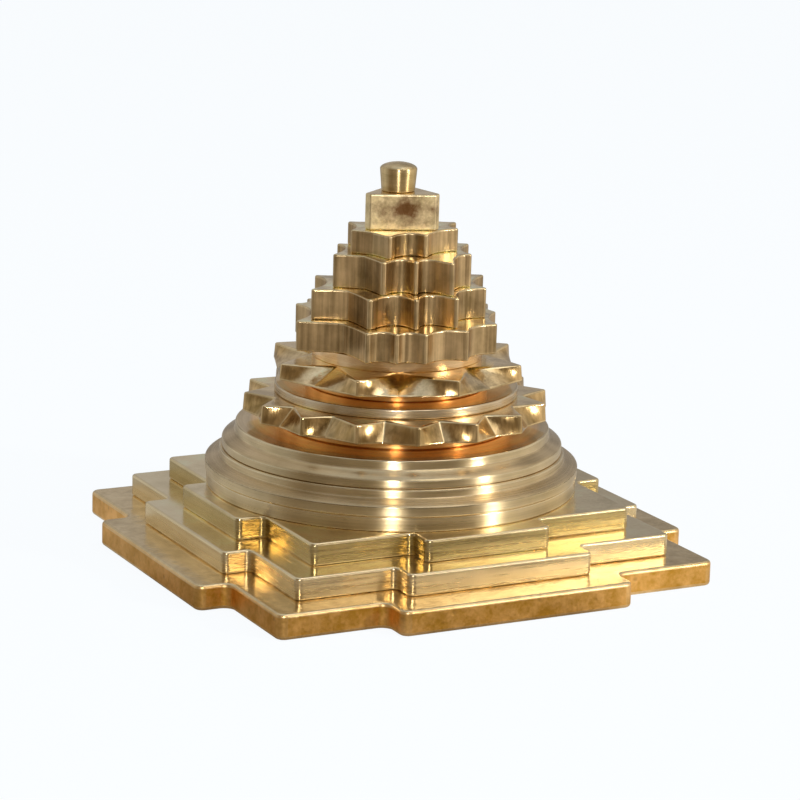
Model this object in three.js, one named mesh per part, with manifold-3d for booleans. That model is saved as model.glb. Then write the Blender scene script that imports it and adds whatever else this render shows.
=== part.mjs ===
// Shri yantra in its raised (Meru) form: a stepped brass tower on three gated square plates.
// Millimetres, +Z up. The origin is the middle of the underside. The gates face +X, -X, +Y and -Y.

import * as THREE from 'three';
import { mergeVertices } from 'three/addons/utils/BufferGeometryUtils.js';
import Module from 'manifold-3d';

const wasm = await Module();
wasm.setup();

// Gated square plates: side of the square, span from gate face to gate face, gate width, thickness
const lowerPlateSide = 66.8;
const lowerPlateSpan = 76.2;
const lowerGateWidth = 35.3;
const lowerPlateThickness = 3.57;

const middlePlateSide = 57.6;
const middlePlateSpan = 65.6;
const middleGateWidth = 28.1;
const middlePlateThickness = 3.16;

const upperPlateSide = 49.3;
const upperPlateSpan = 57.8;
const upperGateWidth = 19.2;
const upperPlateThickness = 3.17;

// Turned circle steps: the lower one is plain, the other two have a rim, a cove and a short wall.
// They stand a little off the middle of the plates.
const stepOffsetX = -0.37;
const stepOffsetY = 0.19;

const lowerStepRadius = 26.4;
const lowerStepThickness = 2.07;

const middleStepRimRadius = 26.6;
const middleStepWallRadius = 24.6;
const middleStepThickness = 3.31;
const middleStepRimShare = 0.4;

const upperStepRimRadius = 24.25;
const upperStepWallRadius = 22.35;
const upperStepThickness = 3.51;
const upperStepRimShare = 0.29;

const stepWallShare = 0.3;
const coveSteps = 5;

// Round necks in the two deep grooves
const lowerNeckRadius = 16.6;
const lowerNeckThickness = 1.84;
const upperNeckRadius = 12.95;
const upperNeckThickness = 1.75;

// Petal plates: radii of the tips and of the gaps at the foot and at the top, and thickness. The gaps
// slope outwards from the top to the foot. The eight petals' gaps reach in to the disc above. A side
// of theirs leaves the tip towards a shoulder, given by its depth from the tip and its half width,
// and ends in a round gap.
const sixteenPetalTipRadius = 21.9;
const sixteenPetalFootRadius = 20.6;
const sixteenPetalGapRadius = 17.9;
const sixteenPetalThickness = 2.68;
const eightPetalTipRadius = 18.5;
const eightPetalFootRadius = 17.2;
const eightPetalThickness = 2.29;
const eightPetalShoulderDepth = 1.8;
const eightPetalShoulderWidth = 2.1;
const eightPetalGapRounding = 1.8;

// Round discs on the petal plates
const lowerDiscRadius = 17.3;
const lowerDiscThickness = 1.37;
const upperDiscRadius = 12.1;
const upperDiscThickness = 1.79;

// Star plates: nominal tip radius and thickness
const fourteenCornerRadius = 15.6;
const fourteenCornerThickness = 4.3;
const outerTenCornerRadius = 13.95;
const outerTenCornerThickness = 4.29;
const innerTenCornerRadius = 11.0;
const innerTenCornerThickness = 4.71;
const eightCornerRadius = 8.5;
const eightCornerThickness = 3.26;

// Triangle block: circumscribed radius of its sharp triangle, and the width of its blunt corners
const triangleRadius = 6.8;
const triangleCornerWidth = 1.3;
const triangleThickness = 5.08;

// Bindu knob: foot and shoulder radii, shoulder height and whole height. It stands off the middle.
const binduOffsetX = -0.4;
const binduOffsetY = 0.2;
const binduFootRadius = 2.35;
const binduShoulderRadius = 2.62;
const binduShoulderHeight = 3.1;
const binduHeight = 4.05;
const binduSocketDepth = 2.6;
const binduDomeSteps = 6;

// Stud, nut and washer that hold the stack together
const studRadius = 1.0;
const studEndRecess = 0.25;
const nutAcrossFlats = 4.0;
const nutThickness = 1.6;
const nutRecess = 0.5;
const washerRadius = 2.5;
const washerThickness = 0.4;
const counterboreRadius = 3.4;

// Dowels: two in the base, one long thin one in the tower
const basePinRadius = 1.5;
const basePinSpacing = 30;
const basePinBottomWeb = 1.2;
const basePinTopWeb = 1.4;
const towerPinRadius = 0.8;
const towerPinOffset = 3.9;
const towerPinDepth = 2.0;
const towerPinTopWeb = 1.1;

// Clearances and edges
const boreClearance = 0.3;
const pinEndGap = 0.3;
const edgeBreak = 0.22;
const cutOverrun = 1.0;

// Numbers of petals
const sixteenPetals = 16;
const eightPetals = 8;

// Turns, in degrees: the tower stands a little turned on its plates, the triangle a little more.
// The stars' first corner points to -X at a turn of zero.
const towerTurn = 182.6;
const triangleTurn = 188;
const sixteenPetalTurn = 184;
const eightPetalTurn = 180.9;

// Corners of the stars and the middles of the hollows between them, all the way round. Each row
// gives an angle from the first corner and a radius as a share of the star's nominal radius.
const fourteenCornerShares = [
  [0, 1.06], [45, 1.02], [60, 0.98], [75, 1.0], [100, 0.99], [125, 0.99], [158, 0.9],
  [180, 0.96], [204, 0.94], [235, 0.99], [260, 0.99], [285, 1.0], [300, 0.98], [315, 0.985],
];
const fourteenHollowShares = [
  [22, 0.79], [52, 0.9], [67, 0.9], [87, 0.87], [111, 0.88], [140, 0.84], [169, 0.86],
  [191, 0.86], [220, 0.84], [249, 0.88], [273, 0.87], [293, 0.9], [308, 0.9], [338, 0.79],
];

const outerTenCornerShares = [
  [0, 1.03], [44, 1.01], [72, 0.98], [98, 1.0], [138, 0.92],
  [180, 1.02], [222, 0.94], [262, 1.0], [288, 0.98], [314, 0.92],
];
const outerTenHollowShares = [
  [22, 0.76], [58, 0.7], [85, 0.7], [118, 0.72], [160, 0.77],
  [200, 0.77], [242, 0.72], [275, 0.7], [302, 0.68], [338, 0.74],
];

const innerTenCornerShares = [
  [0, 0.99], [49, 1.0], [75, 0.96], [98, 1.14], [137, 0.97],
  [180, 1.05], [223, 0.98], [262, 1.12], [285, 0.96], [311, 0.9],
];
const innerTenHollowShares = [
  [28, 0.71], [62, 0.7], [87, 0.74], [122, 0.83], [158, 0.8],
  [202, 0.8], [238, 0.83], [273, 0.74], [298, 0.68], [332, 0.7],
];

const eightCornerShares = [
  [0, 0.95], [51, 1.02], [91, 0.87], [147, 1.0], [180, 1.14], [213, 1.0], [269, 0.87], [309, 0.97],
];
const eightHollowShares = [
  [24, 0.76], [71, 0.63], [124, 0.69], [165, 0.84], [195, 0.84], [236, 0.69], [289, 0.63], [336, 0.74],
];

// Fineness of round shapes
const turnedSides = 80;
const neckSides = 56;
const boreSides = 18;
const hollowSteps = 5;
const petalSteps = 6;

// Levels, from the bottom up
const lowerPlateZ = 0;
const middlePlateZ = lowerPlateZ + lowerPlateThickness;
const upperPlateZ = middlePlateZ + middlePlateThickness;
const lowerStepZ = upperPlateZ + upperPlateThickness;
const middleStepZ = lowerStepZ + lowerStepThickness;
const upperStepZ = middleStepZ + middleStepThickness;
const lowerNeckZ = upperStepZ + upperStepThickness;
const sixteenPetalZ = lowerNeckZ + lowerNeckThickness;
const lowerDiscZ = sixteenPetalZ + sixteenPetalThickness;
const upperNeckZ = lowerDiscZ + lowerDiscThickness;
const eightPetalZ = upperNeckZ + upperNeckThickness;
const upperDiscZ = eightPetalZ + eightPetalThickness;
const fourteenCornerZ = upperDiscZ + upperDiscThickness;
const outerTenCornerZ = fourteenCornerZ + fourteenCornerThickness;
const innerTenCornerZ = outerTenCornerZ + outerTenCornerThickness;
const eightCornerZ = innerTenCornerZ + innerTenCornerThickness;
const triangleZ = eightCornerZ + eightCornerThickness;
const binduZ = triangleZ + triangleThickness;

// Levels and sizes of the fastenings, from the pieces that they sit in
const washerZ = nutRecess + nutThickness;
const counterboreDepth = washerZ + washerThickness;
const studTopZ = binduZ + binduSocketDepth - pinEndGap;
const basePinBottomZ = lowerPlateZ + basePinBottomWeb;
const basePinTopZ = upperStepZ + upperStepThickness - basePinTopWeb;
const towerPinBottomZ = lowerNeckZ - towerPinDepth;
const towerPinTopZ = eightCornerZ + eightCornerThickness - towerPinTopWeb;

// Place of the tower's dowel, towards the stars' first corner
const towerPinX = towerPinOffset * Math.cos(THREE.MathUtils.degToRad(towerTurn));
const towerPinY = towerPinOffset * Math.sin(THREE.MathUtils.degToRad(towerTurn));

function polar(radius, degrees) {
  const angle = THREE.MathUtils.degToRad(degrees);
  return new THREE.Vector2(radius * Math.cos(angle), radius * Math.sin(angle));
}

// Closed mesh to solid and back, for the cuts
function toSolid(geometry) {
  const plain = geometry.clone();
  plain.deleteAttribute('normal');
  plain.deleteAttribute('uv');
  const merged = mergeVertices(plain);
  return new wasm.Manifold(new wasm.Mesh({
    numProp: 3,
    vertProperties: new Float32Array(merged.attributes.position.array),
    triVerts: new Uint32Array(merged.index.array),
  }));
}

function toGeometry(solid) {
  const mesh = solid.getMesh();
  const geometry = new THREE.BufferGeometry();
  geometry.setAttribute('position', new THREE.BufferAttribute(mesh.vertProperties, 3));
  geometry.setIndex(new THREE.BufferAttribute(mesh.triVerts, 1));
  const flat = geometry.toNonIndexed();
  flat.computeVertexNormals();
  return flat;
}

function cut(geometry, tools) {
  let solid = toSolid(geometry);
  for (const tool of tools) {
    solid = solid.subtract(toSolid(tool));
  }
  return toGeometry(solid);
}

// Upright round cutter or rod from one level to another
function upright(radius, fromZ, toZ, x, y, sides) {
  const geometry = new THREE.CylinderGeometry(radius, radius, toZ - fromZ, sides);
  geometry.rotateX(Math.PI / 2);
  geometry.translate(x, y, (fromZ + toZ) / 2);
  return geometry;
}

// Plate cut from an outline, with its top and bottom edges broken
function plate(outline, thickness) {
  const geometry = new THREE.ExtrudeGeometry(outline, {
    depth: thickness - 2 * edgeBreak,
    bevelEnabled: true,
    bevelThickness: edgeBreak,
    bevelSize: edgeBreak,
    bevelOffset: -edgeBreak,
    bevelSegments: 1,
  });
  geometry.translate(0, 0, edgeBreak);
  return geometry;
}

// Square with a rectangular gate in the middle of each side
function gateOutline(side, span, gateWidth) {
  const quarter = [
    [side / 2, -gateWidth / 2],
    [span / 2, -gateWidth / 2],
    [span / 2, gateWidth / 2],
    [side / 2, gateWidth / 2],
    [side / 2, side / 2],
  ];
  const points = [];
  for (let turn = 0; turn < 4; turn += 1) {
    for (const [x, y] of quarter) {
      points.push(new THREE.Vector2(x, y).rotateAround(new THREE.Vector2(), turn * Math.PI / 2));
    }
  }
  return new THREE.Shape(points);
}

// Star: a smooth hollow runs from each corner to the next, through its middle point
function starOutline(radius, cornerShares, hollowShares) {
  const points = [];
  cornerShares.forEach(([angle, share], i) => {
    const [nextAngle, nextShare] = cornerShares[(i + 1) % cornerShares.length];
    const [middleAngle, middleShare] = hollowShares[i];
    const from = polar(radius * share, towerTurn + angle);
    const to = polar(radius * nextShare, towerTurn + nextAngle);
    const middle = polar(radius * middleShare, towerTurn + middleAngle);
    const bend = middle.clone().multiplyScalar(2).sub(from.clone().lerp(to, 0.5));
    const hollow = new THREE.QuadraticBezierCurve(from, bend, to);
    points.push(...hollow.getPoints(hollowSteps).slice(0, -1));
  });
  return new THREE.Shape(points);
}

// Points of a ring of petals. A petal's side is straight, or bent by its shoulder and its round gap.
function petalPoints(count, turn, tipRadius, gapRadius, shoulder = null) {
  const half = 180 / count;
  const tip = new THREE.Vector2(tipRadius, 0);
  const points = [];
  for (let petal = 0; petal < count; petal += 1) {
    for (const side of [-1, 1]) {
      const gap = polar(gapRadius, side * half);
      let nearTip = tip.clone().lerp(gap, 1 / 3);
      let nearGap = tip.clone().lerp(gap, 2 / 3);
      if (shoulder) {
        nearTip = new THREE.Vector2(tipRadius - shoulder.depth, side * shoulder.width);
        nearGap = polar(shoulder.rounding, side * (half - 90)).add(gap);
      }
      const curve = side < 0
        ? new THREE.CubicBezierCurve(gap, nearGap, nearTip, tip)
        : new THREE.CubicBezierCurve(tip, nearTip, nearGap, gap);
      const angle = THREE.MathUtils.degToRad(turn + 2 * half * petal);
      for (const point of curve.getPoints(petalSteps).slice(0, -1)) {
        points.push(point.rotateAround(new THREE.Vector2(), angle));
      }
    }
  }
  return points;
}

// Solid between a bottom and a top outline with as many points, its edges broken
function loft(bottomPoints, topPoints, thickness) {
  const inset = (point) => point.clone().setLength(point.length() - edgeBreak);
  const rings = [
    [bottomPoints.map(inset), 0],
    [bottomPoints, edgeBreak],
    [topPoints, thickness - edgeBreak],
    [topPoints.map(inset), thickness],
  ];
  const count = bottomPoints.length;
  const positions = rings.flatMap(([points, z]) => points.flatMap((point) => [point.x, point.y, z]));
  const indices = [];
  for (let ring = 0; ring < rings.length - 1; ring += 1) {
    for (let i = 0; i < count; i += 1) {
      const a = ring * count + i;
      const b = ring * count + (i + 1) % count;
      indices.push(a, b, b + count, a, b + count, a + count);
    }
  }
  const top = (rings.length - 1) * count;
  for (const [a, b, c] of THREE.ShapeUtils.triangulateShape(rings.at(-1)[0], [])) {
    indices.push(top + a, top + b, top + c);
  }
  for (const [a, b, c] of THREE.ShapeUtils.triangulateShape(rings[0][0], [])) {
    indices.push(a, c, b);
  }
  const geometry = new THREE.BufferGeometry();
  geometry.setAttribute('position', new THREE.Float32BufferAttribute(positions, 3));
  geometry.setIndex(indices);
  return geometry;
}

// Triangle with its three corners cut blunt
function triangleOutline() {
  const side = triangleRadius * Math.sqrt(3);
  const points = [];
  for (let corner = 0; corner < 3; corner += 1) {
    const tip = polar(triangleRadius, triangleTurn + corner * 120);
    for (const next of [-1, 1]) {
      const other = polar(triangleRadius, triangleTurn + (corner + next) * 120);
      points.push(tip.clone().lerp(other, triangleCornerWidth / side));
    }
  }
  return new THREE.Shape(points);
}

// Turned piece from a profile of radius and height, which runs from axis to axis
function turned(profile, height, sides) {
  const points = [[0, 0], ...profile, [0, height]].map(([radius, z]) => new THREE.Vector2(radius, z));
  const geometry = new THREE.LatheGeometry(points, sides);
  geometry.rotateX(Math.PI / 2);
  return geometry;
}

function discProfile(radius, thickness) {
  return [
    [radius - edgeBreak, 0],
    [radius, edgeBreak],
    [radius, thickness - edgeBreak],
    [radius - edgeBreak, thickness],
  ];
}

// Rim at the bottom, a cove above it, and a short upright wall up to the top edge
function coveProfile(rimRadius, wallRadius, thickness, rimShare) {
  const rimTop = thickness * rimShare;
  const wallBottom = thickness * (1 - stepWallShare);
  const points = [
    [rimRadius - edgeBreak, 0],
    [rimRadius, edgeBreak],
  ];
  for (let step = 0; step <= coveSteps; step += 1) {
    const share = step / coveSteps;
    const ease = (1 - Math.cos(Math.PI * share)) / 2;
    points.push([rimRadius + (wallRadius - rimRadius) * ease, rimTop + (wallBottom - rimTop) * share]);
  }
  points.push([wallRadius, thickness - edgeBreak]);
  points.push([wallRadius - edgeBreak, thickness]);
  return points;
}

const studBore = studRadius + boreClearance;
const basePinBore = basePinRadius + boreClearance;
const towerPinBore = towerPinRadius + boreClearance;

// Cutters, in the levels of the piece whose bottom is at pieceZ
function studCutter(pieceZ, fromZ, toZ) {
  return upright(studBore, fromZ - pieceZ, toZ - pieceZ, 0, 0, boreSides);
}

function basePinCutters(pieceZ, fromZ, toZ) {
  return [-1, 1].map((side) => upright(
    basePinBore, fromZ - pieceZ, toZ - pieceZ, side * basePinSpacing / 2, 0, boreSides));
}

function towerPinCutter(pieceZ, fromZ, toZ) {
  return upright(towerPinBore, fromZ - pieceZ, toZ - pieceZ, towerPinX, towerPinY, boreSides);
}

const brass = { color: 0xc9a25a, metalness: 1, roughness: 0.28 };
const polished = new THREE.MeshStandardMaterial({ ...brass, roughness: 0.2 });
const machined = new THREE.MeshStandardMaterial({ ...brass, color: 0xb08d52, roughness: 0.38 });
const cast = new THREE.MeshStandardMaterial({ ...brass, color: 0xb58438, roughness: 0.5 });
const grooved = new THREE.MeshStandardMaterial({ ...brass, color: 0xb46a28, roughness: 0.3 });
const steel = new THREE.MeshStandardMaterial({ color: 0x9a9c9e, metalness: 1, roughness: 0.4 });

const yantra = new THREE.Group();

function place(name, geometry, material, z) {
  const mesh = new THREE.Mesh(geometry, material);
  mesh.name = name;
  mesh.position.z = z;
  yantra.add(mesh);
}

// Gated plates. The lowest has the nut's counterbore below and the dowels' blind holes above.
place('gate_plate_lower', cut(
  plate(gateOutline(lowerPlateSide, lowerPlateSpan, lowerGateWidth), lowerPlateThickness),
  [
    studCutter(lowerPlateZ, lowerPlateZ - cutOverrun, middlePlateZ + cutOverrun),
    upright(counterboreRadius, -cutOverrun, counterboreDepth, 0, 0, boreSides),
    ...basePinCutters(lowerPlateZ, basePinBottomZ, middlePlateZ + cutOverrun),
  ],
), cast, lowerPlateZ);

place('gate_plate_middle', cut(
  plate(gateOutline(middlePlateSide, middlePlateSpan, middleGateWidth), middlePlateThickness),
  [
    studCutter(middlePlateZ, middlePlateZ - cutOverrun, upperPlateZ + cutOverrun),
    ...basePinCutters(middlePlateZ, middlePlateZ - cutOverrun, upperPlateZ + cutOverrun),
  ],
), polished, middlePlateZ);

place('gate_plate_upper', cut(
  plate(gateOutline(upperPlateSide, upperPlateSpan, upperGateWidth), upperPlateThickness),
  [
    studCutter(upperPlateZ, upperPlateZ - cutOverrun, lowerStepZ + cutOverrun),
    ...basePinCutters(upperPlateZ, upperPlateZ - cutOverrun, lowerStepZ + cutOverrun),
  ],
), polished, upperPlateZ);

// Turned circle steps. The dowels end inside the top one, and the tower's dowel starts there.
function stepPiece(name, profile, thickness, z, holes) {
  const step = turned(profile, thickness, turnedSides);
  step.translate(stepOffsetX, stepOffsetY, 0);
  const studHole = studCutter(z, z - cutOverrun, z + thickness + cutOverrun);
  place(name, cut(step, [studHole, ...holes]), polished, z);
}

stepPiece(
  'circle_step_lower',
  discProfile(lowerStepRadius, lowerStepThickness),
  lowerStepThickness,
  lowerStepZ,
  basePinCutters(lowerStepZ, lowerStepZ - cutOverrun, middleStepZ + cutOverrun),
);

stepPiece(
  'circle_step_middle',
  coveProfile(middleStepRimRadius, middleStepWallRadius, middleStepThickness, middleStepRimShare),
  middleStepThickness,
  middleStepZ,
  basePinCutters(middleStepZ, middleStepZ - cutOverrun, upperStepZ + cutOverrun),
);

stepPiece(
  'circle_step_upper',
  coveProfile(upperStepRimRadius, upperStepWallRadius, upperStepThickness, upperStepRimShare),
  upperStepThickness,
  upperStepZ,
  [
    ...basePinCutters(upperStepZ, upperStepZ - cutOverrun, basePinTopZ + pinEndGap),
    towerPinCutter(upperStepZ, towerPinBottomZ - pinEndGap, lowerNeckZ + cutOverrun),
  ],
);

// Tower pieces: the stud's hole and the tower dowel's hole go through each of them
function towerPiece(name, geometry, thickness, material, z, pinTopZ = z + thickness + cutOverrun) {
  const holes = [
    studCutter(z, z - cutOverrun, z + thickness + cutOverrun),
    towerPinCutter(z, z - cutOverrun, pinTopZ),
  ];
  place(name, cut(geometry, holes), material, z);
}

// Necks and discs are plain turned rings
function ringPiece(name, radius, thickness, material, z) {
  towerPiece(name, turned(discProfile(radius, thickness), thickness, neckSides), thickness, material, z);
}

ringPiece('neck_lower', lowerNeckRadius, lowerNeckThickness, grooved, lowerNeckZ);
ringPiece('circle_disc_lower', lowerDiscRadius, lowerDiscThickness, polished, lowerDiscZ);
ringPiece('neck_upper', upperNeckRadius, upperNeckThickness, grooved, upperNeckZ);
ringPiece('circle_disc_upper', upperDiscRadius, upperDiscThickness, polished, upperDiscZ);

// Petal plates
towerPiece('sixteen_petal_plate', loft(
  petalPoints(sixteenPetals, sixteenPetalTurn, sixteenPetalTipRadius, sixteenPetalFootRadius),
  petalPoints(sixteenPetals, sixteenPetalTurn, sixteenPetalTipRadius, sixteenPetalGapRadius),
  sixteenPetalThickness,
), sixteenPetalThickness, machined, sixteenPetalZ);

const eightPetalShoulder = {
  depth: eightPetalShoulderDepth,
  width: eightPetalShoulderWidth,
  rounding: eightPetalGapRounding,
};
towerPiece('eight_petal_plate', loft(
  petalPoints(eightPetals, eightPetalTurn, eightPetalTipRadius, eightPetalFootRadius),
  petalPoints(eightPetals, eightPetalTurn, eightPetalTipRadius, upperDiscRadius, eightPetalShoulder),
  eightPetalThickness,
), eightPetalThickness, machined, eightPetalZ);

// Star plates
function starPiece(name, radius, cornerShares, hollowShares, thickness, z, pinTopZ) {
  const star = plate(starOutline(radius, cornerShares, hollowShares), thickness);
  towerPiece(name, star, thickness, machined, z, pinTopZ);
}

starPiece(
  'fourteen_corner_plate', fourteenCornerRadius, fourteenCornerShares, fourteenHollowShares,
  fourteenCornerThickness, fourteenCornerZ);
starPiece(
  'outer_ten_corner_plate', outerTenCornerRadius, outerTenCornerShares, outerTenHollowShares,
  outerTenCornerThickness, outerTenCornerZ);
starPiece(
  'inner_ten_corner_plate', innerTenCornerRadius, innerTenCornerShares, innerTenHollowShares,
  innerTenCornerThickness, innerTenCornerZ);
starPiece(
  'eight_corner_plate', eightCornerRadius, eightCornerShares, eightHollowShares,
  eightCornerThickness, eightCornerZ, towerPinTopZ + pinEndGap);

place('triangle_block', cut(
  plate(triangleOutline(), triangleThickness),
  [studCutter(triangleZ, triangleZ - cutOverrun, binduZ + cutOverrun)],
), polished, triangleZ);

// Bindu knob: tapers a little to its foot, domed above the shoulder, with a blind socket for the stud
const binduProfile = [[binduFootRadius, 0]];
for (let step = 0; step < binduDomeSteps; step += 1) {
  const angle = (step / binduDomeSteps) * Math.PI / 2;
  binduProfile.push([
    binduShoulderRadius * Math.cos(angle),
    binduShoulderHeight + (binduHeight - binduShoulderHeight) * Math.sin(angle),
  ]);
}
const bindu = turned(binduProfile, binduHeight, neckSides);
bindu.translate(binduOffsetX, binduOffsetY, 0);
place(
  'bindu_knob',
  cut(bindu, [studCutter(binduZ, binduZ - cutOverrun, binduZ + binduSocketDepth)]),
  polished,
  binduZ,
);

// Stud, nut, washer and dowels
place('tie_stud', upright(studRadius, studEndRecess, studTopZ, 0, 0, boreSides), steel, 0);

const washer = upright(washerRadius, 0, washerThickness, 0, 0, boreSides);
const washerHole = upright(studBore, -cutOverrun, washerThickness + cutOverrun, 0, 0, boreSides);
place('base_washer', cut(washer, [washerHole]), steel, washerZ);

const nutCornerRadius = nutAcrossFlats / Math.sqrt(3);
const nut = new THREE.CylinderGeometry(nutCornerRadius, nutCornerRadius, nutThickness, 6);
nut.rotateX(Math.PI / 2);
nut.translate(0, 0, nutThickness / 2);
const nutHole = upright(studBore, -cutOverrun, nutThickness + cutOverrun, 0, 0, boreSides);
place('base_nut', cut(nut, [nutHole]), steel, nutRecess);

place('base_pin_left', upright(
  basePinRadius, pinEndGap, basePinTopZ - basePinBottomZ, -basePinSpacing / 2, 0, boreSides,
), steel, basePinBottomZ);
place('base_pin_right', upright(
  basePinRadius, pinEndGap, basePinTopZ - basePinBottomZ, basePinSpacing / 2, 0, boreSides,
), steel, basePinBottomZ);
place('tower_pin', upright(
  towerPinRadius, 0, towerPinTopZ - towerPinBottomZ, towerPinX, towerPinY, boreSides,
), steel, towerPinBottomZ);

export default yantra;
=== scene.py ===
import math

import bpy
from mathutils import Matrix, Vector
from mathutils.geometry import delaunay_2d_cdt


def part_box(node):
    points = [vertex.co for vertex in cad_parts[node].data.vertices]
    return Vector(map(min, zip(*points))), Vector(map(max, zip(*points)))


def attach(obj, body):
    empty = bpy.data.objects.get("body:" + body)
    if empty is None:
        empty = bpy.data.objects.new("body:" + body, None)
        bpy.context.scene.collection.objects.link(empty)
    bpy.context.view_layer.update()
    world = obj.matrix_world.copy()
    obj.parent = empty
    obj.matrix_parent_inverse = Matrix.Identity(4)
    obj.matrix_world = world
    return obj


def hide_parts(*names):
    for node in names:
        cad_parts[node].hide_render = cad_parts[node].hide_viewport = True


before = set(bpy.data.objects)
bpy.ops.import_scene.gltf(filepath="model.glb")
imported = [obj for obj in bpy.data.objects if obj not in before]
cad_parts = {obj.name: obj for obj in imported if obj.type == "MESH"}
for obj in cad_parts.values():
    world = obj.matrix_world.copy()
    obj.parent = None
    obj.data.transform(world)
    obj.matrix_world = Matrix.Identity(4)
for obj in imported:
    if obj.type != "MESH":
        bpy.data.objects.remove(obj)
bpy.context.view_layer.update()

MM = 0.001

# Sizes, in millimetres and degrees
GATE_PLATES = {                      # side, span over the gates, gate width
    "gate_plate_lower": (66.8, 76.2, 35.3),
    "gate_plate_middle": (57.6, 65.6, 28.1),
    "gate_plate_upper": (49.3, 57.8, 19.2),
}
STEP_CENTRE = (-0.37, 0.19)          # the turned discs stand a little off the middle
PLAIN_STEP_RADIUS = 26.4
COVE_STEPS = {                       # rim radius, wall radius, rim share of the height
    "circle_step_middle": (26.6, 24.6, 0.4),
    "circle_step_upper": (24.25, 22.35, 0.29),
}
WALL_SHARE = 0.3                     # share of the height that the upper wall of a cove step takes
RINGS = {                            # radius
    "neck_lower": 16.6,
    "circle_disc_lower": 17.3,
    "neck_upper": 12.95,
    "circle_disc_upper": 12.1,
}
TOWER_TURN = 182.6                   # direction of the stars' first corner and of the tower's pin
PETALS = {                           # count, turn, tip radius, foot gap radius, top gap radius
    "sixteen_petal_plate": (16, 184.0, 21.9, 20.6, 17.9),
    "eight_petal_plate": (8, 180.9, 18.5, 17.2, 12.1),
}
SHOULDERS = {                        # depth from the tip and half width of a petal's top
    "sixteen_petal_plate": None,
    "eight_petal_plate": (2.1, 1.8),
}
SHOULDER_PULL = 0.6                  # how far a shouldered flank is drawn towards its gap
GAP_SHIFTS = {                       # degrees by which the front gaps stand off their middle
    "sixteen_petal_plate": (-4.0, -3.0, -2.0, -0.8, 0.5),
    "eight_petal_plate": (-3.0, -4.6),
}
STARS = {                            # radius, corners and hollows as (angle, share of the radius)
    "fourteen_corner_plate": (
        15.6,
        [(0, 1.06), (45, 1.02), (60, 0.98), (75, 1.0), (100, 0.99), (125, 0.99), (158, 0.9),
         (180, 0.96), (204, 0.94), (235, 0.99), (260, 0.99), (285, 1.0), (300, 0.98),
         (315, 0.985)],
        [(21, 0.76), (52, 0.9), (67, 0.9), (87, 0.87), (111, 0.88), (140, 0.84), (169, 0.86),
         (191, 0.86), (220, 0.84), (249, 0.88), (273, 0.87), (293, 0.9), (308, 0.9),
         (338, 0.79)],
    ),
    "outer_ten_corner_plate": (
        13.95,
        [(0, 1.03), (44, 1.01), (72, 0.98), (98, 1.0), (138, 0.92),
         (180, 1.02), (222, 0.94), (262, 1.0), (288, 0.98), (314, 0.92)],
        [(16, 0.72), (58, 0.7), (85, 0.7), (118, 0.72), (160, 0.77),
         (200, 0.77), (242, 0.72), (275, 0.7), (302, 0.68), (338, 0.74)],
    ),
    "inner_ten_corner_plate": (
        11.0,
        [(0, 0.99), (49, 1.0), (75, 0.96), (98, 1.14), (137, 0.97),
         (180, 1.05), (223, 0.98), (262, 1.12), (285, 0.96), (311, 0.9)],
        [(22, 0.70), (62, 0.7), (87, 0.74), (122, 0.83), (158, 0.8),
         (202, 0.8), (238, 0.83), (273, 0.74), (298, 0.68), (332, 0.7)],
    ),
    "eight_corner_plate": (
        8.5,
        [(0, 0.95), (51, 1.02), (91, 0.87), (147, 1.0), (180, 1.14), (213, 1.0), (269, 0.87),
         (309, 0.97)],
        [(25, 0.77), (71, 0.63), (124, 0.69), (165, 0.84), (195, 0.84), (236, 0.69),
         (289, 0.63), (336, 0.74)],
    ),
}
CREASED_HOLLOW = 0                   # the wide front-left hollow of each star ends in a crease
CREASE = 0.75                        # 0 for a round hollow, 1 for two flat sides
TRIANGLE = (6.8, 188.0, 1.3)         # radius of the sharp triangle, turn, cut at its corners
BINDU_CENTRE = (-0.4, 0.2)
BINDU = (2.35, 2.62, 3.1)            # foot radius, shoulder radius, shoulder height
BINDU_FLAT = 0.05                    # radius of the flat on top of the dome

STUD_BORE = 1.3
PIN_BORE = 1.8
PIN_X = 15.0
TOWER_BORE = 1.1
TOWER_PIN_OFFSET = 3.9
COUNTERBORE = (3.4, 2.5)             # radius, depth
BINDU_SOCKET = 2.6
PIN_GAP = 0.3
THROUGH = (-1.0, 100.0)              # levels below and above every piece

EDGE = 0.25                          # rounding of the edges
TIP = 0.4                            # rounding of the upright corners
SEAT_EDGE = 0.1                      # rounding of the disc under the stars
PLATE_ROUNDINGS = {                  # edges and upright corners of the gated plates
    "gate_plate_lower": (0.5, 1.3),
    "gate_plate_middle": (0.36, 0.9),
    "gate_plate_upper": (0.36, 0.9),
}
SUPPORT = 0.05                       # strip beside a rounding that keeps the flat face flat
UPRIGHT_WEAR_AND_HIGHLIGHT = 0.3                   # wear and painted highlight of an upright corner beside that of a top edge

ROUNDING_STEPS = 5
LEAST_TURN = 20.0                    # a bend of fewer degrees isn't rounded
LONGEST_REACH = 0.85                 # share of a side that a rounding may take
END_RUN = 4                          # stretch of a plate's end faces in its profile, in roundings
LEAST_MITRE = 0.5                    # keeps a moved corner from running far out
LOFT_LEVELS = 6                      # rings between the foot and the top of a petal plate
CURVE_STEPS = 12                     # along a hollow, a petal's flank, a cove or the dome
CURVE_END = 0.2                      # share of a curve left to its first and last stretch
TURNED_SIDES = 256
BORE_SIDES = 32
SAME_POINT = 1e-6
TRIANGLES_INSIDE = 1                 # the filler's kind of result
SHARP_BEND = 40.0                    # degrees from which the shading shows an edge


def level(node):
    """Bottom and top of a CAD piece."""
    low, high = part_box(node)
    return low.z / MM, high.z / MM


# Outlines

def polar(radius, degrees):
    a = math.radians(degrees)
    return Vector((radius * math.cos(a), radius * math.sin(a)))


def bezier(points, t):
    while len(points) > 1:
        points = [a.lerp(b, t) for a, b in zip(points, points[1:])]
    return points[0]


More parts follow.
